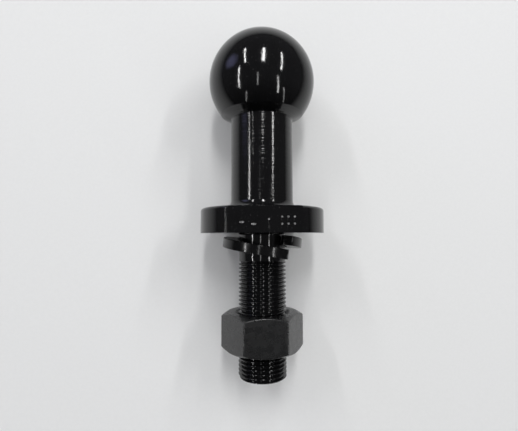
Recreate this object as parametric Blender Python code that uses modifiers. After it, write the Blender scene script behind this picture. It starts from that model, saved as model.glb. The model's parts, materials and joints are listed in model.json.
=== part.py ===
"""Hitch ball with a threaded shank, a split lock washer and a hex nut.

The ball stud is one forging: ball, neck, flange with two wrench flats, plain shoulder and threaded
shank. Every piece is modelled around the stud's axis, with the ball up and the seat (the flange's
underside) at height zero. An empty then lays the axis down, so that the stud rests on its ball and
on one wrench flat, with the middle of its box's underside at the world's origin.
"""

import math

import bmesh
import bpy
from mathutils import Matrix, Vector

MM = 0.001

# Driving dimensions, in millimetres and degrees. Heights are above the seat.
BALL_DIAMETER = 50.0
BALL_CENTRE_HEIGHT = 71.9
BALL_CUT_BELOW_CENTRE = 15.8     # where the sphere ends and its underside turns in to the neck
UNDERSIDE_SLOPE = 26.0
NECK_DIAMETER = 29.0
NECK_FILLET = 3.8
FLANGE_DIAMETER = 57.1
FLANGE_THICKNESS = 11.3
FLANGE_TOP_EDGE = 1.0
FLANGE_SEAT_EDGE = 0.4           # a chamfer
FLATS_APART = 47.2
SHANK_LENGTH = 64.8
SHOULDER_DIAMETER = 21.4
SEAT_FILLET = 0.8
THREADS_PER_INCH = 14
THREAD_MAJOR_DIAMETER = 21.9
THREAD_START_DEPTH = 12.2        # below the seat
FIRST_CREST_DEPTH = 13.36        # of the crest on the stud's +X side
THREAD_FADE_IN = 0.75            # turns over which the ridge rises to its full height
THREAD_FADE_OUT = 0.25
SHANK_END_CHAMFER = 0.65         # of the crests
SHANK_END_SETBACK = 0.1          # of the end face's rim, inside the thread's root

NUT_ACROSS_FLATS = 32.8
NUT_HEIGHT = 16.8
NUT_TOP_DEPTH = 35.9             # below the seat
NUT_TURN = 2.6
NUT_CHAMFER_ANGLE = 30.0
NUT_FACE_DIAMETER = 32.2
NUT_BORE_DIAMETER = 22.6
NUT_COUNTERSINK = 1.2

WASHER_OUTER_DIAMETER = 36.4
WASHER_INNER_DIAMETER = 23.4
WASHER_THICKNESS = 4.3
WASHER_LEAD = 6.1                # how far one end springs away from the other
WASHER_GAP_DIRECTION = -51.0     # of the split, from +X, anticlockwise seen from the ball
WASHER_GAP = 1.0                 # width of the split, at the ring's middle
WASHER_LEAN = 6.5                # the loose ring leans on the shank, lower at +X
WASHER_MIDDLE_DEPTH = 5.1        # of the ring's middle, below the seat

STEPS = 24                       # facets round every turned surface
BALL_UPPER_STEPS = 10            # segments from the ball's pole to its equator
BALL_LOWER_STEPS = 5             # and from its equator to its cut
WASHER_STEPS = 40
CUTTER_REACH = 1.0               # how far the cutting forms stand out past what they cut

PITCH = 25.4 / THREADS_PER_INCH
THREAD_SHARP_HEIGHT = PITCH * math.sqrt(3.0) / 2.0
THREAD_DEPTH = THREAD_SHARP_HEIGHT * 17.0 / 24.0
THREAD_ROOT_RADIUS = THREAD_MAJOR_DIAMETER / 2.0 - THREAD_DEPTH
THREAD_ROOT_FLAT = PITCH / 8.0
THREAD_CREST_FLAT = PITCH / 8.0
RIDGE_SINK = 0.15                # how far the ridge's foot reaches into the shank's core
SHANK_END_RADIUS = THREAD_ROOT_RADIUS - SHANK_END_SETBACK


def clear_scene():
    for obj in list(bpy.data.objects):
        bpy.data.objects.remove(obj, do_unlink=True)


def new_collection(name):
    collection = bpy.data.collections.new(name)
    bpy.context.scene.collection.children.link(collection)
    return collection


def principled(name, colour, roughness, metallic):
    material = bpy.data.materials.new(name)
    material.use_nodes = True
    shader = material.node_tree.nodes["Principled BSDF"]
    shader.inputs["Base Color"].default_value = (*colour, 1.0)
    shader.inputs["Roughness"].default_value = roughness
    shader.inputs["Metallic"].default_value = metallic
    return material


def add_object(name, mesh, collection, parent, material=None):
    obj = bpy.data.objects.new(name, mesh)
    collection.objects.link(obj)
    obj.parent = parent
    if material:
        mesh.materials.append(material)
    return obj


def mark_as_cutter(obj):
    obj.hide_render = True
    obj.display_type = "WIRE"


def profile_mesh(name, points):
    """An open chain of edges in the XZ plane, from (radius, height) pairs in millimetres."""
    mesh = bpy.data.meshes.new(name)
    vertices = [(radius * MM, 0.0, height * MM) for radius, height in points]
    edges = [(i, i + 1) for i in range(len(points) - 1)]
    mesh.from_pydata(vertices, edges, [])
    return mesh


def turn(obj):
    """Turns a profile about its local Z axis into a closed solid."""
    screw = obj.modifiers.new("turn", "SCREW")
    screw.axis = "Z"
    screw.steps = STEPS
    screw.render_steps = STEPS
    screw.use_merge_vertices = True
    screw.merge_threshold = 0.00001
    screw.use_smooth_shade = True


def combine(obj, other, operation):
    boolean = obj.modifiers.new(operation.lower() + "_" + other.name, "BOOLEAN")
    boolean.operation = operation
    boolean.object = other
    boolean.solver = "EXACT"


def arc(centre_radius, centre_height, radius, start, end, steps):
    """Points on an arc in the profile plane; angles in degrees from the outward direction."""
    angles = [math.radians(start + (end - start) * i / steps) for i in range(steps + 1)]
    return [(centre_radius + radius * math.cos(a), centre_height + radius * math.sin(a)) for a in angles]


def stud_profile():
    """The stud's outer side from the ball's pole down to the shank's end."""
    ball_radius = BALL_DIAMETER / 2.0
    neck_radius = NECK_DIAMETER / 2.0
    flange_radius = FLANGE_DIAMETER / 2.0
    shoulder_radius = SHOULDER_DIAMETER / 2.0
    cut_radius = math.sqrt(ball_radius ** 2 - BALL_CUT_BELOW_CENTRE ** 2)
    cut_angle = -math.degrees(math.asin(BALL_CUT_BELOW_CENTRE / ball_radius))
    cut_height = BALL_CENTRE_HEIGHT - BALL_CUT_BELOW_CENTRE
    neck_top = cut_height - (cut_radius - neck_radius) * math.tan(math.radians(UNDERSIDE_SLOPE))

    points = [(0.0, BALL_CENTRE_HEIGHT + ball_radius)]
    points += arc(0.0, BALL_CENTRE_HEIGHT, ball_radius, 90.0, 0.0, BALL_UPPER_STEPS)[1:]
    points += arc(0.0, BALL_CENTRE_HEIGHT, ball_radius, 0.0, cut_angle, BALL_LOWER_STEPS)[1:]
    points.append((neck_radius, neck_top))
    points += arc(neck_radius + NECK_FILLET, FLANGE_THICKNESS + NECK_FILLET, NECK_FILLET, 180.0, 270.0, 4)
    edge = FLANGE_TOP_EDGE
    points += arc(flange_radius - edge, FLANGE_THICKNESS - edge, edge, 90.0, 0.0, 2)
    points.append((flange_radius, FLANGE_SEAT_EDGE))
    points.append((flange_radius - FLANGE_SEAT_EDGE, 0.0))
    points += arc(shoulder_radius + SEAT_FILLET, -SEAT_FILLET, SEAT_FILLET, 90.0, 180.0, 2)
    runout = shoulder_radius - THREAD_ROOT_RADIUS
    points.append((shoulder_radius, -THREAD_START_DEPTH))
    points.append((THREAD_ROOT_RADIUS, -THREAD_START_DEPTH - runout))
    points.append((THREAD_ROOT_RADIUS, -SHANK_LENGTH + SHANK_END_CHAMFER / 2.0))
    points.append((SHANK_END_RADIUS, -SHANK_LENGTH))
    points.append((0.0, -SHANK_LENGTH))
    return points


def thread_ridge_mesh():
    """The thread's helical ridge, a trapezium swept round the shank, tapered in at both ends.

    Its root sits inside the shank's core, so that the two can be joined.
    """
    crest = THREAD_MAJOR_DIAMETER / 2.0
    foot = THREAD_ROOT_RADIUS - RIDGE_SINK
    half_foot = (PITCH - THREAD_ROOT_FLAT) / 2.0
    half_crest = THREAD_CREST_FLAT / 2.0
    chamfer_start = SHANK_LENGTH - SHANK_END_CHAMFER
    last_crest_depth = SHANK_LENGTH - half_foot
    rings = math.floor((last_crest_depth - FIRST_CREST_DEPTH) / PITCH * STEPS) + 1
    steps_in = THREAD_FADE_IN * STEPS
    steps_out = THREAD_FADE_OUT * STEPS

    mesh = bmesh.new()
    previous = None
    for i in range(rings):
        angle = -2.0 * math.pi * i / STEPS
        depth = FIRST_CREST_DEPTH + PITCH * i / STEPS
        rise = min(1.0, i / steps_in, (rings - 1 - i) / steps_out)
        lowest_tip = foot + RIDGE_SINK / 2.0
        tip = lowest_tip + (crest - lowest_tip) * rise
        tip = min(tip, crest - max(0.0, depth - chamfer_start))
        section = [(foot, half_foot), (tip, half_crest), (tip, -half_crest), (foot, -half_foot)]
        ring = [
            mesh.verts.new((r * math.cos(angle) * MM, r * math.sin(angle) * MM, (h - depth) * MM))
            for r, h in section
        ]
        if previous:
            for j in range(4):
                k = (j + 1) % 4
                mesh.faces.new((previous[j], previous[k], ring[k], ring[j]))
        else:
            mesh.faces.new(reversed(ring))
        previous = ring
    mesh.faces.new(previous)
    bmesh.ops.recalc_face_normals(mesh, faces=mesh.faces)
    result = bpy.data.meshes.new("thread_ridge")
    mesh.to_mesh(result)
    mesh.free()
    return result


def flat_cutter(name, side, collection, parent):
    """A block that leaves a wrench flat on the flange, at local -Y or +Y."""
    depth = FLANGE_DIAMETER / 2.0
    mesh = bpy.data.meshes.new(name)
    block = bmesh.new()
    bmesh.ops.create_cube(block, size=1.0)
    size = Vector((2.0 * FLANGE_DIAMETER, depth, FLANGE_THICKNESS + 2.0 * CUTTER_REACH)) * MM
    bmesh.ops.scale(block, vec=size, verts=block.verts)
    block.to_mesh(mesh)
    block.free()
    cutter = add_object(name, mesh, collection, parent)
    cutter.location = Vector((0.0, side * (FLATS_APART + depth) / 2.0, FLANGE_THICKNESS / 2.0)) * MM
    mark_as_cutter(cutter)
    return cutter


def make_ball_stud(parts, cutters, parent):
    paint = principled("gloss_black_paint", (0.006, 0.006, 0.007), 0.14, 0.0)
    stud = add_object("ball_stud", profile_mesh("ball_stud", stud_profile()), parts, parent, paint)
    turn(stud)
    for name, side in (("flat_cutter_front", -1.0), ("flat_cutter_back", 1.0)):
        combine(stud, flat_cutter(name, side, cutters, parent), "DIFFERENCE")
    ridge = add_object("thread_ridge", thread_ridge_mesh(), cutters, parent)
    mark_as_cutter(ridge)
    combine(stud, ridge, "UNION")
    return stud


def nut_hexagon_mesh():
    mesh = bpy.data.meshes.new("hex_nut")
    prism = bmesh.new()
    corner_radius = NUT_ACROSS_FLATS / math.sqrt(3.0) * MM
    bmesh.ops.create_cone(
        prism, cap_ends=True, segments=6, radius1=corner_radius, radius2=corner_radius, depth=NUT_HEIGHT * MM
    )
    # a flat, not a corner, faces -Y
    corner = max(prism.verts, key=lambda v: v.co.x)
    turn_back = math.atan2(corner.co.y, corner.co.x)
    bmesh.ops.rotate(prism, matrix=Matrix.Rotation(-turn_back, 3, "Z"), verts=prism.verts)
    prism.to_mesh(mesh)
    prism.free()
    return mesh


def make_hex_nut(parts, cutters, parent):
    finish = principled("black_nut_finish", (0.012, 0.012, 0.013), 0.38, 0.3)
    nut = add_object("hex_nut", nut_hexagon_mesh(), parts, parent, finish)
    middle = -(NUT_TOP_DEPTH + NUT_HEIGHT / 2.0) * MM
    nut.location = (0.0, 0.0, middle)
    nut.rotation_euler = (0.0, 0.0, math.radians(NUT_TURN))

    half = NUT_HEIGHT / 2.0
    face = NUT_FACE_DIAMETER / 2.0
    slope = math.tan(math.radians(NUT_CHAMFER_ANGLE))
    reach = NUT_ACROSS_FLATS / math.sqrt(3.0) + CUTTER_REACH
    drop = (reach - face) * slope
    upper = [(0.0, half), (face, half), (reach, half - drop)]
    lens_points = upper + [(radius, -height) for radius, height in reversed(upper)]
    lens = add_object("nut_chamfer_form", profile_mesh("nut_chamfer_form", lens_points), cutters, parent)
    lens.location = nut.location
    turn(lens)
    mark_as_cutter(lens)
    combine(nut, lens, "INTERSECT")

    bore = NUT_BORE_DIAMETER / 2.0
    mouth = bore + NUT_COUNTERSINK
    past = CUTTER_REACH
    bore_points = [
        (0.0, half + past),
        (mouth + past, half + past),
        (bore, half - NUT_COUNTERSINK),
        (bore, NUT_COUNTERSINK - half),
        (mouth + past, -half - past),
        (0.0, -half - past),
    ]
    cutter = add_object("nut_bore_form", profile_mesh("nut_bore_form", bore_points), cutters, parent)
    cutter.location = nut.location
    turn(cutter)
    mark_as_cutter(cutter)
    combine(nut, cutter, "DIFFERENCE")
    return nut


def washer_mesh():
    """A rectangular section swept round one left-hand turn, with its two ends sheared apart."""
    inner = WASHER_INNER_DIAMETER / 2.0
    outer = WASHER_OUTER_DIAMETER / 2.0
    middle = (inner + outer) / 2.0
    half_gap = WASHER_GAP / 2.0 / middle
    first = math.radians(WASHER_GAP_DIRECTION) + half_gap
    sweep = 2.0 * math.pi - 2.0 * half_gap
    half = WASHER_THICKNESS / 2.0

    mesh = bmesh.new()
    previous = None
    for i in range(WASHER_STEPS + 1):
        share = i / WASHER_STEPS
        angle = first + sweep * share
        height = WASHER_LEAD * (0.5 - share)
        low, high = height - half, height + half
        section = [(inner, low), (outer, low), (outer, high), (inner, high)]
        ring = [
            mesh.verts.new((r * math.cos(angle) * MM, r * math.sin(angle) * MM, h * MM))
            for r, h in section
        ]
        if previous:
            for j in range(4):
                k = (j + 1) % 4
                mesh.faces.new((previous[j], ring[j], ring[k], previous[k]))
        else:
            mesh.faces.new(ring)
        previous = ring
    mesh.faces.new(reversed(previous))
    bmesh.ops.recalc_face_normals(mesh, faces=mesh.faces)
    result = bpy.data.meshes.new("lock_washer")
    mesh.to_mesh(result)
    mesh.free()
    return result


def make_lock_washer(parts, parent):
    steel = principled("black_spring_steel", (0.012, 0.012, 0.013), 0.42, 0.3)
    washer = add_object("lock_washer", washer_mesh(), parts, parent, steel)
    washer.location = (0.0, 0.0, -WASHER_MIDDLE_DEPTH * MM)
    washer.rotation_euler = (0.0, math.radians(WASHER_LEAN), 0.0)
    return washer


def lay_down(axis_empty):
    """Lays the stud's axis down, so that the ball and the lower edge of one flat touch the ground."""
    ball_radius = BALL_DIAMETER / 2.0
    flat = FLATS_APART / 2.0
    reach = math.hypot(BALL_CENTRE_HEIGHT, flat)
    tilt = math.asin(ball_radius / reach) - math.atan2(flat, BALL_CENTRE_HEIGHT)
    seat_above_ground = flat * math.cos(tilt)
    ball_end = BALL_CENTRE_HEIGHT * math.cos(tilt) + ball_radius
    shank_end = -SHANK_LENGTH * math.cos(tilt) - SHANK_END_RADIUS * math.sin(tilt)
    axis_empty.rotation_euler = (tilt - math.pi / 2.0, 0.0, 0.0)
    axis_empty.location = Vector((0.0, -(ball_end + shank_end) / 2.0, seat_above_ground)) * MM


def build():
    clear_scene()
    parts = new_collection("trailer_hitch_ball")
    cutters = new_collection("cutters")
    stud_axis = bpy.data.objects.new("stud_axis", None)
    parts.objects.link(stud_axis)
    lay_down(stud_axis)
    make_ball_stud(parts, cutters, stud_axis)
    make_hex_nut(parts, cutters, stud_axis)
    make_lock_washer(parts, stud_axis)
    bpy.context.view_layer.update()


build()
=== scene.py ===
import json
import math

import bmesh
import bpy
import numpy as np
from mathutils import Matrix, Vector


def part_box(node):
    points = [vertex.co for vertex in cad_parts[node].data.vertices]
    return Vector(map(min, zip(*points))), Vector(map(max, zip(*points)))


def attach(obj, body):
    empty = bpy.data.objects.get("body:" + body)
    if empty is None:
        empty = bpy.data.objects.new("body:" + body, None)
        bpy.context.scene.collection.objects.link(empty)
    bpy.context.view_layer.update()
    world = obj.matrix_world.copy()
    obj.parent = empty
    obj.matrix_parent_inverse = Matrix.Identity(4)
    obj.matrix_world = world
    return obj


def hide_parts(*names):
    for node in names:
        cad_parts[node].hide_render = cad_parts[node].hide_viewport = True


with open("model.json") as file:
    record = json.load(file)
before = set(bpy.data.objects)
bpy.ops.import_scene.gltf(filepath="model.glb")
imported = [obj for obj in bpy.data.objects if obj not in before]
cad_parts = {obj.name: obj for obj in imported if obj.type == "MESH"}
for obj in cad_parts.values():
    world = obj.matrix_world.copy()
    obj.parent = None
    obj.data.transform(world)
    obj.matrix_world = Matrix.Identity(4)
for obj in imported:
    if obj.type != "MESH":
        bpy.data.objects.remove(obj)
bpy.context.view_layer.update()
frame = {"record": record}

# Looks of a hitch ball, its lock washer and its nut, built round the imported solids.
# Every piece is made in the stud's own space: millimetres, the stud's axis along Z with the ball
# up, and the seat (the flange's underside) at height zero. stud_space() lays it on the floor.

MM = 0.001
INCH = 25.4

# The stud, in millimetres and degrees. Heights are above the seat.
BALL_CENTRE_HEIGHT = 71.9
BALL_CUT_BELOW_CENTRE = 15.8
UNDERSIDE_SLOPE = 26.0
UNDERSIDE_EDGE = 0.9
NECK_DIAMETER = 29.0
NECK_TOP_FILLET = 0.6
NECK_FILLET = 3.8
FLANGE_THICKNESS = 11.3
FLANGE_TOP_EDGE = 1.4
FLANGE_SEAT_EDGE = 0.15
FLATS_APART = 47.2
FLAT_EDGE = 0.12
FLAT_CORNER = 0.3
SEAT_FILLET = 0.8
SHANK_LENGTH = 64.8
SHOULDER_DIAMETER = 21.4
THREAD_MAJOR_DIAMETER = 21.9
THREADS_PER_INCH = 14
THREAD_START_DEPTH = 12.2
THREAD_RUN_IN = 1.6
FIRST_CREST_DEPTH = 13.36        # of the crest on the stud's +X side
THREAD_ROUNDING = 0.12
SHANK_END_RADIUS = 10.3          # inside the chamfer that cuts the last crests
INSET = 0.012                    # of the ball and the end face, which keeps them in the CAD's box

# Plain marks punched in the front flat, placed by (across, height): two dashes, and dots
MARK_DEPTH = 0.22
MARK_WIDTH = 1.3
DASH_LENGTH = 3.0
DASHES = ((-9.5, 4.4), (-4.6, 3.6))
LONE_DOT = (1.6, 5.6)
DOT_COLUMNS = (7.0, 9.6, 12.2)
DOT_ROWS = (3.7, 6.6)
MARKS_REACH = 13.0               # to either side
MARKS_MARGIN = 1.0               # from the flat's long edges
# Between these depths below the flat, the marks' floors get a painted highlight: a paler colour standing
# in for their glints
MARK_GLINT_DEPTHS = (0.06, 0.4)   # below the flat

# The nut
NUT_ACROSS_FLATS = 32.8
NUT_HEIGHT = 16.8
NUT_TOP_DEPTH = 35.9
NUT_TURN = 2.6
NUT_CHAMFER_ANGLE = 30.0
NUT_FACE_DIAMETER = 32.2
NUT_MOUTH_DIAMETER = 25.0
NUT_CORNER = 0.4
NUT_EDGE = 0.14
NUT_THREAD_CLEARANCE = 0.1

# The lock washer
WASHER_OUTER_DIAMETER = 36.4
WASHER_INNER_DIAMETER = 23.4
WASHER_THICKNESS = 4.3
WASHER_LEAD = 6.1
WASHER_GAP_DIRECTION = -51.0
WASHER_GAP = 1.0
WASHER_LEAN = 6.5
WASHER_MIDDLE_DEPTH = 5.1
WASHER_EDGE = 0.3

# Mesh steps
COLUMNS = 120                    # round every turned surface
COLUMN_CLEARANCE = 0.3           # of a step, between an even column and a corner's own
FLANGE_COLUMNS = (-2.0, -0.9, -0.45, 0.0, 0.45, 0.9, 2.0, 3.0)   # degrees off each corner
NUT_COLUMNS = (-1.1, -0.65, -0.3, 0.0, 0.3, 0.65, 1.1)
BALL_STEP = 3.0                  # degrees between the ball's rings
FILLET_STEPS = 6
MARK_SUBDIVISIONS = 3
SHANK_END_RINGS = (1.0, 0.97, 0.5, 0.0)    # shares of the outline, in to the middle
WASHER_END_RINGS = (1.0, 0.9, 0.0)
THREAD_ROWS = (0.0, 0.045, 0.085, 0.24, 0.385, 0.43, 0.5, 0.57, 0.615, 0.76, 0.915, 0.955)
WASHER_STEPS = 150
MERGE_DISTANCE = 0.001
SHARP_ANGLE = 40.0

# The camera, in the stud's space
VIEW_ROLL = 2.585                # how far the viewer stands round the axis, off the flat's middle
VIEW_TILT = 4.259                # how far the lens leans towards the ball
VIEW_DISTANCE = 177.225          # from the axis
VIEW_HEIGHT = -1.405             # along the axis
VIEW_SHIFT = -1.191              # to the right
VIEW_TWIST = 0.178               # about the line of sight
LENS = 26.234
SENSOR = 36.0
NEAREST = 0.005                  # metres, of what the camera shows
FRAME_SHIFT = (-0.00097, -0.01436)   # of the frame's width, across and up: the photograph is cropped

# The studio, in metres
CEILING = 1.6
FLOOR_SIZE = 40.0
MIRRORED_REACH = (0.25, 0.34)    # where the floor shows half as bright in the paint
FILL_SIZE = 3.2
FILL_PLACE = (0.4, 0.1)
FILL_RADIANCE = 0.58
WINDOW_DIRECTION = (-0.83, 0.48, 0.3)
WINDOW_RIM = (0.965, 0.995)      # cosines of the angles from its middle where it begins and is full
WINDOW_SILL = (0.27, 0.37)       # how far along Y it begins and is full

# The ceiling's tubes: start and end in ceiling heights from the object, width likewise, and radiance
TUBES = (
    ("lamp_left_far", (-0.72, 0.53), (-1.03, 1.83), 0.05, 40.0),
    ("lamp_left", (-1.38, -0.65), (-1.08, 0.44), 0.05, 50.0),
    ("lamp_left_near", (-1.38, -1.9), (-0.87, -0.82), 0.045, 8.0),
    ("lamp_middle_far", (0.01, 0.42), (0.06, 1.25), 0.1, 27.0),
    ("lamp_middle", (-0.2, -0.41), (-0.18, 0.03), 0.04, 6.0),
    ("lamp_right_far", (0.74, 0.2), (1.0, 1.39), 0.05, 38.0),
    ("lamp_right", (0.81, -0.84), (0.58, -0.05), 0.05, 18.0),
    ("lamp_right_near", (2.57, -2.59), (1.12, -0.56), 0.06, 7.0),
)
ONLY_IN_THE_PAINT = ("lamp_left", "lamp_right")

# Finishes: features in millimetres, depths of bumps in metres
PAINT_IOR = 1.5
PAINT_ROUGHNESS = (0.05, 0.1)
PAINT_WEAR = (0.53, 0.6)         # pointiness where the paint begins to wear and is worn
# The nut's and washer's edges: where the finish wears through, and where their painted highlight goes
FINISH_WEAR_AND_GLINT = (0.53, 0.58)
DUST_COVER = 0.3
DUSTY_ROUGHNESS = 0.2            # more than the paint's
MARK_ROUGHNESS = 0.3             # more than the paint's
GROOVE_SIZE = (40.0, 40.0, 0.6)
GROOVE_DEPTH = 0.0001
PEEL_SIZE = 0.75
PEEL_DEPTH = 0.000014
RUBBED_METAL = 0.7
WASHER_IOR = 1.42
WASHER_ROUGHNESS = 0.15
WASHER_GRAIN = 0.000003
NUT_IOR = 1.72
NUT_ROUGHNESS = 0.28
NUT_GRAIN = 0.0000025
ROUGHNESS_SPREAD = 0.05
FLOOR_ROUGHNESS = 0.7

# Colours
BLACK = (0.0, 0.0, 0.0, 1.0)
PAINT_DARK = (0.002, 0.002, 0.0022, 1.0)
PAINT_LIGHT = (0.005, 0.005, 0.0055, 1.0)
DUST = (0.09, 0.09, 0.09, 1.0)
WORN_PAINT = (0.03, 0.03, 0.03, 1.0)
# A painted highlight: the pale colour on the punched marks' floors stands in for their glints
MARK_GLINT = (0.24, 0.24, 0.24, 1.0)
# Partly a painted highlight: the nut's and washer's edges are made lighter to stand in for the glint on
# their rounding
BARE_STEEL_AND_GLINT = (0.3, 0.3, 0.3, 1.0)
WASHER_BLACK = (0.003, 0.003, 0.0032)
NUT_BLACK = (0.005, 0.0052, 0.0054)
PAPER_DARK = (0.78, 0.785, 0.783, 1.0)
PAPER_LIGHT = (0.82, 0.825, 0.823, 1.0)
ROOM = (0.1, 0.1, 0.105, 1.0)
VIEWER_SIDE = (0.015, 0.015, 0.015, 1.0)
WINDOW = (0.78, 0.79, 1.32, 1.0)
BACKDROP = (0.72, 0.73, 0.74, 1.0)

PITCH = INCH / THREADS_PER_INCH
THREAD_DEPTH = PITCH * math.sqrt(3.0) / 2.0 * 17.0 / 24.0   # of a 60 degree thread's full height


# --- the frame ---------------------------------------------------------------------------------

def stud_space():
    """From the stud's own space to the row frame, both in metres."""
    end = next(m for m in frame["record"]["mounts"] if m["name"] == "shank_end")
    axis = -Vector(end["axis"]).normalized()
    seat = Vector(end["pos_m"]) + axis * SHANK_LENGTH * MM
    right = Vector((1.0, 0.0, 0.0))
    back = axis.cross(right)
    turn = Matrix((right, back, axis)).transposed()
    return Matrix.Translation(seat) @ turn.to_4x4()


def ball_radius():
    low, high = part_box("ball_stud")
    return (high.z - low.z) / 2.0 / MM - INSET


def flange_radius():
    low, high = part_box("ball_stud")
    return (high.x - low.x) / 2.0 / MM


# --- shapes ------------------------------------------------------------------------------------

def smooth_min(a, b, width):
    """The smaller of a and b, rounded where they cross."""
    near = np.maximum(width - np.abs(a - b), 0.0) / width
    return np.minimum(a, b) - near ** 2 * width / 4.0


def smooth_max(a, b, width):
    return -smooth_min(-a, -b, width)


def columns(corners, spread):
    """The angles of a grid's columns: evenly spaced, with some at set offsets from each corner."""
    even = np.linspace(0.0, 2.0 * math.pi, COLUMNS + 1)
    packed = np.radians([corner + offset for corner in corners for offset in spread]) % (2.0 * math.pi)
    clearance = COLUMN_CLEARANCE * 2.0 * math.pi / COLUMNS
    inner = [a for a in even[1:-1] if np.min(np.abs(packed - a)) > clearance]
    return np.sort(np.concatenate([even[:1], inner, packed, even[-1:]]))


def grid(angles, radii, heights):
    """Points round the axis: a row for each height and a column for each angle."""
    radii, heights, angles = np.broadcast_arrays(radii, heights, angles)
    return np.stack([radii * np.cos(angles), radii * np.sin(angles), heights], axis=-1)


def fillet(before, corner, after, radius):
    """Points on the arc that rounds a corner of a profile."""
    before, corner, after = (np.array(p, float) for p in (before, corner, after))
    arrive = (before - corner) / np.linalg.norm(before - corner)
    leave = (after - corner) / np.linalg.norm(after - corner)
    half = math.acos(float(arrive @ leave)) / 2.0
    middle = (arrive + leave) / np.linalg.norm(arrive + leave)
    centre = corner + middle * radius / math.sin(half)
    start = corner + arrive * radius / math.tan(half) - centre
    end = corner + leave * radius / math.tan(half) - centre
    sweep = math.pi - 2.0 * half
    shares = np.linspace(0.0, 1.0, FILLET_STEPS + 1)
    return [
        tuple(centre + (start * math.sin((1.0 - s) * sweep) + end * math.sin(s * sweep)) / math.sin(sweep))
        for s in shares
    ]


def rounded(points, radii):
    """A profile with its inner points rounded; a radius of zero keeps the point."""
    path = [points[0]]
    for i, radius in enumerate(radii, start=1):
        path += fillet(points[i - 1], points[i], points[i + 1], radius) if radius else [points[i]]
    return path + [points[-1]]


def closed_mesh(name, grids):
    """One closed mesh from grids of points in millimetres, whose borders meet."""
    points, faces, first = [], [], 0
    for g in grids:
        rows, cols = g.shape[:2]
        index = first + np.arange(rows * cols).reshape(rows, cols)
        quads = np.stack([index[:-1, :-1], index[1:, :-1], index[1:, 1:], index[:-1, 1:]], axis=-1)
        points.append(g.reshape(-1, 3))
        faces.append(quads.reshape(-1, 4))
        first += rows * cols
    mesh = bpy.data.meshes.new(name)
    mesh.from_pydata((np.concatenate(points) * MM).tolist(), [], np.concatenate(faces).tolist())
    work = bmesh.new()
    work.from_mesh(mesh)
    bmesh.ops.remove_doubles(work, verts=work.verts, dist=MERGE_DISTANCE * MM)
    bmesh.ops.recalc_face_normals(work, faces=work.faces)
    work.to_mesh(mesh)
    work.free()
    return mesh


def link_object(name, data):
    obj = bpy.data.objects.new(name, data)
    bpy.context.scene.collection.objects.link(obj)
    return obj


def add_piece(name, mesh, body, node, material):
    """Puts a finished mesh in place, on its CAD body and in its CAD node's stead."""
    mesh.transform(stud_space())
    obj = link_object(name, mesh)
    mesh.materials.append(material)
    mesh.shade_smooth()
    mesh.set_sharp_from_angle(angle=math.radians(SHARP_ANGLE))
    normals = obj.modifiers.new("face_weighted_normals", "WEIGHTED_NORMAL")
    normals.keep_sharp = True
    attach(obj, body)
    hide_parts(node)


# --- the thread --------------------------------------------------------------------------------

def thread_radius(angles, heights):
    """The radius of the right-hand external thread at each angle and height."""
    turns = (heights + FIRST_CREST_DEPTH) / PITCH - angles / (2.0 * math.pi)
    from_crest = np.abs((turns + 0.5) % 1.0 - 0.5) * PITCH
    flank = (from_crest - PITCH / 16.0) * math.sqrt(3.0)
    depth = smooth_max(smooth_min(flank, THREAD_DEPTH, THREAD_ROUNDING), 0.0, THREAD_ROUNDING)
    return THREAD_MAJOR_DIAMETER / 2.0 - depth


def thread_heights(angles, top, bottom):
    """Rows that climb with the helix, held between two planes."""
    above = math.ceil((top + FIRST_CREST_DEPTH) / PITCH)
    pitches = math.ceil((top - bottom) / PITCH) + 2
    drops = np.array([n + share for n in range(pitches) for share in THREAD_ROWS] + [pitches])
    start = -FIRST_CREST_DEPTH + above * PITCH
    heights = start + PITCH * (angles / (2.0 * math.pi) - drops[:, None])
    return np.clip(heights, bottom, top)


# --- the ball stud -----------------------------------------------------------------------------

def neck_top():
    """The height where the ball's underside meets the neck."""
    cut = math.sqrt(ball_radius() ** 2 - BALL_CUT_BELOW_CENTRE ** 2)
    slope = math.tan(math.radians(UNDERSIDE_SLOPE))
    return BALL_CENTRE_HEIGHT - BALL_CUT_BELOW_CENTRE - (cut - NECK_DIAMETER / 2.0) * slope


def stud_profile():
    """The stud's side as (radius, height), from the ball's pole down to where the thread starts."""
    ball, flange = ball_radius(), flange_radius()
    neck, shoulder = NECK_DIAMETER / 2.0, SHOULDER_DIAMETER / 2.0
    cut_angle = -math.degrees(math.asin(BALL_CUT_BELOW_CENTRE / ball))
    rings = math.ceil((90.0 - cut_angle) / BALL_STEP)
    angles = np.radians(np.linspace(90.0, cut_angle, rings + 1))
    sphere = [(ball * math.cos(a), BALL_CENTRE_HEIGHT + ball * math.sin(a)) for a in angles]
    cut = sphere[-1]
    inside_flats = FLATS_APART / 2.0 - 2.0 * FLAT_EDGE
    corners = [
        (sphere[-2], 0.0),
        (cut, UNDERSIDE_EDGE),
        ((neck, neck_top()), NECK_TOP_FILLET),
        ((neck, FLANGE_THICKNESS), NECK_FILLET),
        ((inside_flats, FLANGE_THICKNESS), 0.0),
        ((flange, FLANGE_THICKNESS), FLANGE_TOP_EDGE),
        ((flange, 0.0), FLANGE_SEAT_EDGE),
        ((inside_flats, 0.0), 0.0),
        ((shoulder, 0.0), SEAT_FILLET),
        ((shoulder, -THREAD_START_DEPTH), 0.0),
    ]
    points = [point for point, _ in corners]
    radii = [radius for _, radius in corners[1:-1]]
    return sphere[:-2] + rounded(points, radii)


def flat_distance(heights):
    """How far the wrench flats are from the axis, drawn in where their long edges are rounded."""
    from_edge = np.minimum(heights, FLANGE_THICKNESS - heights)
    short = np.clip(FLAT_EDGE - from_edge, 0.0, FLAT_EDGE)
    return FLATS_APART / 2.0 - FLAT_EDGE + np.sqrt(FLAT_EDGE ** 2 - short ** 2)


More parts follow.
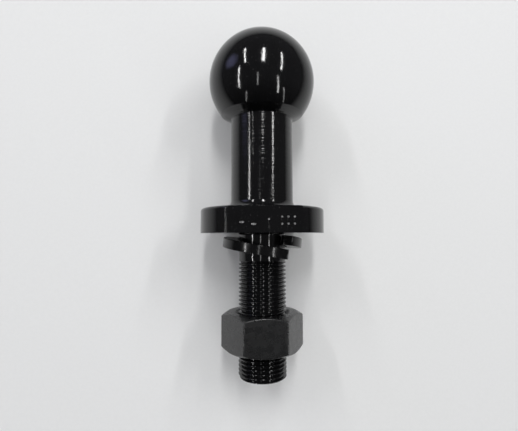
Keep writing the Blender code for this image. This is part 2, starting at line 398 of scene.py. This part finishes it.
def cut_flats(angles, radii, heights):
    """Draws the flange in to its two wrench flats."""
    reach = flat_distance(heights) / np.maximum(np.abs(np.sin(angles)), 0.01)
    in_flange = (heights >= 0.0) & (heights <= FLANGE_THICKNESS)
    return np.where(in_flange, smooth_min(radii, reach, FLAT_CORNER), radii)


def shank_grid(angles):
    """The threaded part of the shank, with its run-in and its end's chamfer."""
    heights = thread_heights(angles, -THREAD_START_DEPTH, INSET - SHANK_LENGTH)
    thread = thread_radius(angles, heights)
    share = np.clip((-THREAD_START_DEPTH - heights) / THREAD_RUN_IN, 0.0, 1.0)
    ease = share ** 2 * (3.0 - 2.0 * share)
    radii = SHOULDER_DIAMETER / 2.0 * (1.0 - ease) + thread * ease
    chamfer = SHANK_END_RADIUS + heights + SHANK_LENGTH
    return grid(angles, smooth_min(radii, chamfer, THREAD_ROUNDING), heights)


def stud_mesh():
    corner = math.degrees(math.asin(FLATS_APART / 2.0 / flange_radius()))
    corners = (corner, 180.0 - corner, 180.0 + corner, 360.0 - corner)
    angles = columns(corners, FLANGE_COLUMNS)
    profile = np.array(stud_profile())
    radii, heights = profile[:, :1], profile[:, 1:]
    body = grid(angles, cut_flats(angles, radii, heights), heights)
    shank = shank_grid(angles)
    across = np.array([1.0, 1.0, 0.0])
    end = np.array([shank[-1] * (across * share + 1.0 - across) for share in SHANK_END_RINGS])
    return closed_mesh("ball_stud", [body, shank, end])


def mark_places():
    """Each mark on the front flat, as (across, height, length)."""
    dashes = [(across, height, DASH_LENGTH) for across, height in DASHES]
    dots = [LONE_DOT] + [(across, height) for across in DOT_COLUMNS for height in DOT_ROWS]
    return dashes + [(across, height, MARK_WIDTH) for across, height in dots]


def cut_marks(stud):
    """Sinks the marks into the front flat, as a punch would."""
    work = bmesh.new()
    for across, height, length in mark_places():
        centre = Vector((across, -FLATS_APART / 2.0 - MARK_WIDTH / 2.0 + MARK_DEPTH, height))
        size = Matrix.Diagonal((length / 2.0, MARK_WIDTH / 2.0, MARK_WIDTH / 2.0, 1.0))
        place = Matrix.Diagonal((MM, MM, MM, 1.0)) @ Matrix.Translation(centre) @ size
        bmesh.ops.create_icosphere(work, subdivisions=MARK_SUBDIVISIONS, radius=1.0, matrix=place)
    mesh = bpy.data.meshes.new("marks")
    work.to_mesh(mesh)
    work.free()
    punch = link_object("marks", mesh)
    target = link_object("marked", stud)
    cut = target.modifiers.new("marks", "BOOLEAN")
    cut.operation = "DIFFERENCE"
    cut.object = punch
    depsgraph = bpy.context.evaluated_depsgraph_get()
    marked = bpy.data.meshes.new_from_object(target.evaluated_get(depsgraph))
    marked.name = "ball_stud"
    for helper in (punch, target):
        bpy.data.objects.remove(helper)
    return marked


# --- the nut -----------------------------------------------------------------------------------

def hexagon(angles):
    """The nut's outline: the radius at each angle, with its corners rounded."""
    face = math.radians(NUT_TURN + 30.0)
    sixth = math.pi / 3.0
    off_middle = np.abs((angles - face + sixth / 2.0) % sixth - sixth / 2.0)
    apothem = NUT_ACROSS_FLATS / 2.0
    return smooth_min(apothem / np.cos(off_middle), apothem / np.cos(sixth - off_middle), NUT_CORNER)


def nut_mesh():
    corners = [NUT_TURN + 60.0 * i for i in range(6)]
    angles = columns(corners, NUT_COLUMNS)
    outline = hexagon(angles)
    slope = math.tan(math.radians(NUT_CHAMFER_ANGLE))
    face, mouth = NUT_FACE_DIAMETER / 2.0, NUT_MOUTH_DIAMETER / 2.0
    half = NUT_HEIGHT / 2.0
    shoulder = half - (outline - face) * slope
    level = np.full_like(outline, half)
    upper = [
        (np.full_like(outline, mouth), level),
        (np.full_like(outline, mouth + NUT_EDGE), level),
        (np.full_like(outline, face - NUT_EDGE), level),
        (np.full_like(outline, face + NUT_EDGE), level - NUT_EDGE * slope),
        (outline - NUT_EDGE, shoulder + NUT_EDGE * slope),
        (outline - NUT_EDGE * 0.3, shoulder - NUT_EDGE * 0.6),
        (outline, shoulder - NUT_EDGE * 2.0),
        (outline, shoulder / 2.0),
    ]
    lower = [(radii, -heights) for radii, heights in reversed(upper)]
    rows = upper + lower
    radii = np.array([row[0] for row in rows])
    heights = np.array([row[1] for row in rows])
    middle = -(NUT_TOP_DEPTH + half)
    outside = grid(angles, radii, heights + middle)

    inner_heights = thread_heights(angles, -NUT_TOP_DEPTH, -NUT_TOP_DEPTH - NUT_HEIGHT)
    thread = thread_radius(angles, inner_heights) + NUT_THREAD_CLEARANCE
    countersink = mouth - half + np.abs(inner_heights - middle)
    inside = grid(angles, smooth_max(thread, countersink, THREAD_ROUNDING), inner_heights)
    return closed_mesh("hex_nut", [outside, inside])


# --- the lock washer ---------------------------------------------------------------------------

def washer_section():
    """The wire's section as (radius, height), a rectangle with rounded edges, closed on itself."""
    inner, outer = WASHER_INNER_DIAMETER / 2.0, WASHER_OUTER_DIAMETER / 2.0
    half = WASHER_THICKNESS / 2.0
    middle = (inner + outer) / 2.0
    points = [(middle, half), (outer, half), (outer, -half), (inner, -half), (inner, half), (middle, half)]
    return np.array(rounded(points, [WASHER_EDGE] * 4))


def washer_mesh():
    """A left-hand turn of the section, with its two ends sheared apart."""
    section = washer_section()
    middle = (WASHER_INNER_DIAMETER + WASHER_OUTER_DIAMETER) / 4.0
    half_gap = WASHER_GAP / 2.0 / middle
    shares = np.linspace(0.0, 1.0, WASHER_STEPS + 1)
    start = math.radians(WASHER_GAP_DIRECTION) + half_gap
    angles = start + (2.0 * math.pi - 2.0 * half_gap) * shares
    rises = WASHER_LEAD * (0.5 - shares)
    side = grid(angles, section[:, :1], section[:, 1:] + rises)
    ends = []
    for column in (0, -1):
        outline = side[:, column]
        centre = outline.mean(axis=0)
        ends.append(np.array([centre + (outline - centre) * share for share in WASHER_END_RINGS]))
    lean = np.array(Matrix.Rotation(math.radians(WASHER_LEAN), 3, "Y"))
    drop = np.array([0.0, 0.0, -WASHER_MIDDLE_DEPTH])
    return closed_mesh("lock_washer", [g @ lean.T + drop for g in (side, *ends)])


# --- materials ---------------------------------------------------------------------------------

def add_node(tree, kind, inputs=None, **settings):
    """A node with its settings; inputs maps sockets to values or to other nodes' outputs."""
    made = tree.nodes.new(kind)
    for key, value in settings.items():
        setattr(made, key, value)
    for socket, value in (inputs or {}).items():
        if isinstance(value, bpy.types.NodeSocket):
            tree.links.new(value, made.inputs[socket])
        else:
            made.inputs[socket].default_value = value
    return made


def new_material(name, **sockets):
    material = bpy.data.materials.new(name)
    material.use_nodes = True
    shader = material.node_tree.nodes["Principled BSDF"]
    for key, value in sockets.items():
        shader.inputs[key.replace("_", " ")].default_value = value
    return material, material.node_tree, shader


def in_stud_space(tree, size):
    """A point's place in the stud's own space, in units of a size in millimetres along each axis."""
    coordinates = add_node(tree, "ShaderNodeTexCoord")
    space = stud_space()
    inputs = {
        "Vector": coordinates.outputs["Object"],
        "Location": space.translation,
        "Rotation": space.to_euler(),
        "Scale": [s * MM for s in size],
    }
    return add_node(tree, "ShaderNodeMapping", inputs, vector_type="TEXTURE").outputs["Vector"]


def noise(tree, size, detail=2.0):
    """A noise value between 0 and 1, with features of that size in millimetres."""
    size = size if isinstance(size, tuple) else (size, size, size)
    inputs = {"Vector": in_stud_space(tree, size), "Scale": 1.0, "Detail": detail}
    return add_node(tree, "ShaderNodeTexNoise", inputs).outputs["Fac"]


def remap(tree, value, low, high, new_low, new_high):
    inputs = {"Value": value, "From Min": low, "From Max": high, "To Min": new_low, "To Max": new_high}
    return add_node(tree, "ShaderNodeMapRange", inputs).outputs["Result"]


def calculate(tree, operation, first, second):
    return add_node(tree, "ShaderNodeMath", {0: first, 1: second}, operation=operation).outputs["Value"]


def mix_colour(tree, share, first, second):
    node = add_node(tree, "ShaderNodeMix", data_type="RGBA")
    for socket, value in ((0, share), (6, first), (7, second)):
        if isinstance(value, bpy.types.NodeSocket):
            tree.links.new(value, node.inputs[socket])
        else:
            node.inputs[socket].default_value = value
    return node.outputs[2]


def bump(tree, height, depth, below=None):
    """A bump of the given depth in metres, on top of another one."""
    inputs = {"Height": height, "Distance": depth, "Strength": 1.0}
    if below:
        inputs["Normal"] = below
    return add_node(tree, "ShaderNodeBump", inputs).outputs["Normal"]


def edges(tree, low, high):
    """One on outer edges, where paint or finish wears and where the nut and washer also get a painted
    highlight, and zero elsewhere, broken up by noise.
    """
    geometry = add_node(tree, "ShaderNodeNewGeometry")
    edge = remap(tree, geometry.outputs["Pointiness"], low, high, 0.0, 1.0)
    patches = remap(tree, noise(tree, 1.4, 3.0), 0.4, 0.62, 0.0, 1.0)
    return calculate(tree, "MULTIPLY", edge, patches)


def between(tree, value, low, high, soft):
    """One where a value lies between two limits, and zero elsewhere."""
    rise = remap(tree, value, low - soft, low, 0.0, 1.0)
    fall = remap(tree, value, high, high + soft, 1.0, 0.0)
    return calculate(tree, "MULTIPLY", rise, fall)


def gloss_black_paint():
    """Thin gloss paint over forged and turned steel: turning grooves on the neck, orange peel and dust,
    and a painted highlight, a paler colour, on the floors of the punched marks.
    """
    material, tree, shader = new_material("gloss_black_paint", IOR=PAINT_IOR)
    place = add_node(tree, "ShaderNodeSeparateXYZ", {"Vector": in_stud_space(tree, (1.0, 1.0, 1.0))})
    shallow, deep = (depth - FLATS_APART / 2.0 for depth in MARK_GLINT_DEPTHS)
    sunk = between(tree, place.outputs["Y"], shallow, deep, 0.04)
    on_flat = calculate(
        tree, "MULTIPLY",
        between(tree, place.outputs["X"], -MARKS_REACH, MARKS_REACH, 0.5),
        between(tree, place.outputs["Z"], MARKS_MARGIN, FLANGE_THICKNESS - MARKS_MARGIN, 0.2),
    )
    patches = remap(tree, noise(tree, 0.45, 2.0), 0.35, 0.6, 0.25, 1.0)
    glint_in_marks = calculate(tree, "MULTIPLY", calculate(tree, "MULTIPLY", sunk, on_flat), patches)
    cloud = noise(tree, 16.0, 3.0)
    dust = remap(tree, noise(tree, 0.7, 2.0), 0.66, 0.78, 0.0, 1.0)
    colour = mix_colour(tree, cloud, PAINT_DARK, PAINT_LIGHT)
    colour = mix_colour(tree, calculate(tree, "MULTIPLY", dust, DUST_COVER), colour, DUST)
    colour = mix_colour(tree, edges(tree, *PAINT_WEAR), colour, WORN_PAINT)
    # Painted highlight: the marks' floors are made paler to stand in for the glints they catch
    colour = mix_colour(tree, glint_in_marks, colour, MARK_GLINT)
    tree.links.new(colour, shader.inputs["Base Color"])
    rough = remap(tree, noise(tree, 4.5, 4.0), 0.3, 0.7, *PAINT_ROUGHNESS)
    rough = calculate(tree, "ADD", rough, calculate(tree, "MULTIPLY", dust, DUSTY_ROUGHNESS))
    rough = calculate(tree, "ADD", rough, calculate(tree, "MULTIPLY", glint_in_marks, MARK_ROUGHNESS))
    tree.links.new(rough, shader.inputs["Roughness"])
    cut_height = BALL_CENTRE_HEIGHT - BALL_CUT_BELOW_CENTRE
    on_neck = between(tree, place.outputs["Z"], FLANGE_THICKNESS + NECK_FILLET, cut_height - 0.6, 0.5)
    grooves = calculate(tree, "MULTIPLY", noise(tree, GROOVE_SIZE, 2.0), on_neck)
    turned = bump(tree, grooves, GROOVE_DEPTH)
    above_thread = between(tree, place.outputs["Z"], -THREAD_START_DEPTH, BALL_CENTRE_HEIGHT * 2.0, 1.0)
    peel = calculate(tree, "MULTIPLY", noise(tree, PEEL_SIZE, 2.0), above_thread)
    tree.links.new(bump(tree, peel, PEEL_DEPTH, turned), shader.inputs["Normal"])
    return material


def satin_black(name, colour, ior, roughness, grain):
    """A thin black finish that shows the steel's grain, worn through to bare steel on the edges; the
    edges' paler steel is partly a painted highlight, standing in for the glint their rounding catches.
    """
    material, tree, shader = new_material(name, IOR=ior)
    cloud = noise(tree, 8.0, 4.0)
    base = mix_colour(tree, cloud, (*(c * 0.7 for c in colour), 1.0), (*(c * 1.3 for c in colour), 1.0))
    rubbed_and_glint = edges(tree, *FINISH_WEAR_AND_GLINT)
    # Worn edges, partly a painted highlight: the paler bare steel stands in for the glint on the rounded
    # edges
    base = mix_colour(tree, rubbed_and_glint, base, BARE_STEEL_AND_GLINT)
    tree.links.new(base, shader.inputs["Base Color"])
    tree.links.new(calculate(tree, "MULTIPLY", rubbed_and_glint, RUBBED_METAL), shader.inputs["Metallic"])
    lowest, highest = roughness - ROUGHNESS_SPREAD, roughness + ROUGHNESS_SPREAD
    rough = remap(tree, noise(tree, 2.5, 3.0), 0.3, 0.7, lowest, highest)
    tree.links.new(rough, shader.inputs["Roughness"])
    fine = bump(tree, noise(tree, 0.4, 3.0), grain)
    broad = bump(tree, noise(tree, 4.0, 2.0), grain * 2.0, fine)
    tree.links.new(broad, shader.inputs["Normal"])
    return material


def pale_floor():
    """Pale paper, which the object's paint mirrors less and less the further out it is."""
    material, tree, shader = new_material("pale_floor", Roughness=FLOOR_ROUGHNESS)
    fibres = noise(tree, 1.4, 4.0)
    colour = mix_colour(tree, fibres, PAPER_DARK, PAPER_LIGHT)
    place = add_node(tree, "ShaderNodeNewGeometry").outputs["Position"]
    inputs = {0: place, 1: (1.0 / MIRRORED_REACH[0], 1.0 / MIRRORED_REACH[1], 0.0)}
    scaled = add_node(tree, "ShaderNodeVectorMath", inputs, operation="MULTIPLY").outputs["Vector"]
    twice = {0: scaled, 1: scaled}
    squared = add_node(tree, "ShaderNodeVectorMath", twice, operation="DOT_PRODUCT").outputs["Value"]
    fade = calculate(tree, "DIVIDE", squared, calculate(tree, "ADD", squared, 1.0))
    mirrored = add_node(tree, "ShaderNodeLightPath").outputs["Is Glossy Ray"]
    colour = mix_colour(tree, calculate(tree, "MULTIPLY", fade, mirrored), colour, BLACK)
    tree.links.new(colour, shader.inputs["Base Color"])
    return material


# --- the studio --------------------------------------------------------------------------------

def add_floor():
    half = FLOOR_SIZE / 2.0
    corners = [(-half, -half, 0.0), (half, -half, 0.0), (half, half, 0.0), (-half, half, 0.0)]
    mesh = bpy.data.meshes.new("floor")
    mesh.from_pydata(corners, [], [(0, 1, 2, 3)])
    mesh.materials.append(pale_floor())
    link_object("floor", mesh)


def add_world():
    """A dim room, darkest on the viewer's side, with a bluish window and a pale backdrop."""
    world = bpy.data.worlds.new("studio")
    world.use_nodes = True
    bpy.context.scene.world = world
    tree = world.node_tree
    coordinates = add_node(tree, "ShaderNodeTexCoord")
    split = add_node(tree, "ShaderNodeSeparateXYZ", {"Vector": coordinates.outputs["Generated"]})
    viewer_side = remap(tree, split.outputs["Y"], -0.1, -0.8, 0.0, 1.0)
    room = mix_colour(tree, viewer_side, ROOM, VIEWER_SIDE)
    towards = {0: coordinates.outputs["Generated"], 1: Vector(WINDOW_DIRECTION).normalized()}
    facing = add_node(tree, "ShaderNodeVectorMath", towards, operation="DOT_PRODUCT").outputs["Value"]
    window = remap(tree, facing, *WINDOW_RIM, 0.0, 1.0)
    above_sill = remap(tree, split.outputs["Y"], *WINDOW_SILL, 0.0, 1.0)
    room = mix_colour(tree, calculate(tree, "MULTIPLY", window, above_sill), room, WINDOW)
    seen = add_node(tree, "ShaderNodeLightPath").outputs["Is Camera Ray"]
    colour = mix_colour(tree, seen, room, BACKDROP)
    tree.links.new(colour, tree.nodes["Background"].inputs["Color"])


def add_tube(name, start, end, width, radiance):
    """A long lamp on the ceiling; its ends' places are in ceiling heights from the object."""
    along = Vector(end) - Vector(start)
    light = bpy.data.lights.new(name, "AREA")
    light.shape = "RECTANGLE"
    light.size = width * CEILING
    light.size_y = along.length * CEILING
    light.energy = radiance * math.pi * light.size * light.size_y
    lamp = link_object(name, light)
    lamp.location = ((Vector(start) + Vector(end)) / 2.0 * CEILING).to_3d() + Vector((0.0, 0.0, CEILING))
    lamp.rotation_euler = (0.0, 0.0, math.atan2(-along.x, along.y))
    lamp.visible_camera = False
    return lamp


def add_lights():
    for tube in TUBES:
        lamp = add_tube(*tube)
        lamp.visible_diffuse = tube[0] not in ONLY_IN_THE_PAINT
    half = FILL_SIZE / CEILING / 2.0
    fill = add_tube("fill", (0.0, -half), (0.0, half), 2.0 * half, FILL_RADIANCE)
    fill.location.xy = FILL_PLACE
    fill.visible_glossy = False


def add_camera():
    roll, tilt = math.radians(VIEW_ROLL), math.radians(VIEW_TILT)
    axis = Vector((0.0, 0.0, 1.0))
    above, beside = Vector((0.0, -1.0, 0.0)), Vector((1.0, 0.0, 0.0))
    towards = above * math.cos(roll) - beside * math.sin(roll)
    across = beside * math.cos(roll) + above * math.sin(roll)
    place = (axis * VIEW_HEIGHT + towards * VIEW_DISTANCE + across * VIEW_SHIFT) * MM
    forward = axis * math.sin(tilt) - towards * math.cos(tilt)
    up = axis * math.cos(tilt) + towards * math.sin(tilt)
    right = forward.cross(up)
    turn = Matrix((right, up, -forward)).transposed().to_4x4()
    data = bpy.data.cameras.new("camera")
    data.lens = LENS
    data.sensor_width = SENSOR
    data.clip_start = NEAREST
    data.shift_x, data.shift_y = FRAME_SHIFT
    camera = link_object("camera", data)
    twist = Matrix.Rotation(math.radians(-VIEW_TWIST), 4, "Z")
    camera.matrix_world = stud_space() @ Matrix.Translation(place) @ turn @ twist
    bpy.context.scene.camera = camera


def add_ball_stud():
    mesh = cut_marks(stud_mesh())
    add_piece("ball_stud_finished", mesh, "stud", "ball_stud", gloss_black_paint())


def add_lock_washer():
    name = "black_spring_steel"
    finish = satin_black(name, WASHER_BLACK, WASHER_IOR, WASHER_ROUGHNESS, WASHER_GRAIN)
    add_piece("lock_washer_finished", washer_mesh(), "washer", "lock_washer", finish)


def add_hex_nut():
    name = "black_nut_finish"
    finish = satin_black(name, NUT_BLACK, NUT_IOR, NUT_ROUGHNESS, NUT_GRAIN)
    add_piece("hex_nut_finished", nut_mesh(), "nut", "hex_nut", finish)


bpy.context.scene.view_settings.view_transform = "Standard"
add_camera()
add_world()
add_lights()
add_floor()
add_ball_stud()
add_lock_washer()
add_hex_nut()
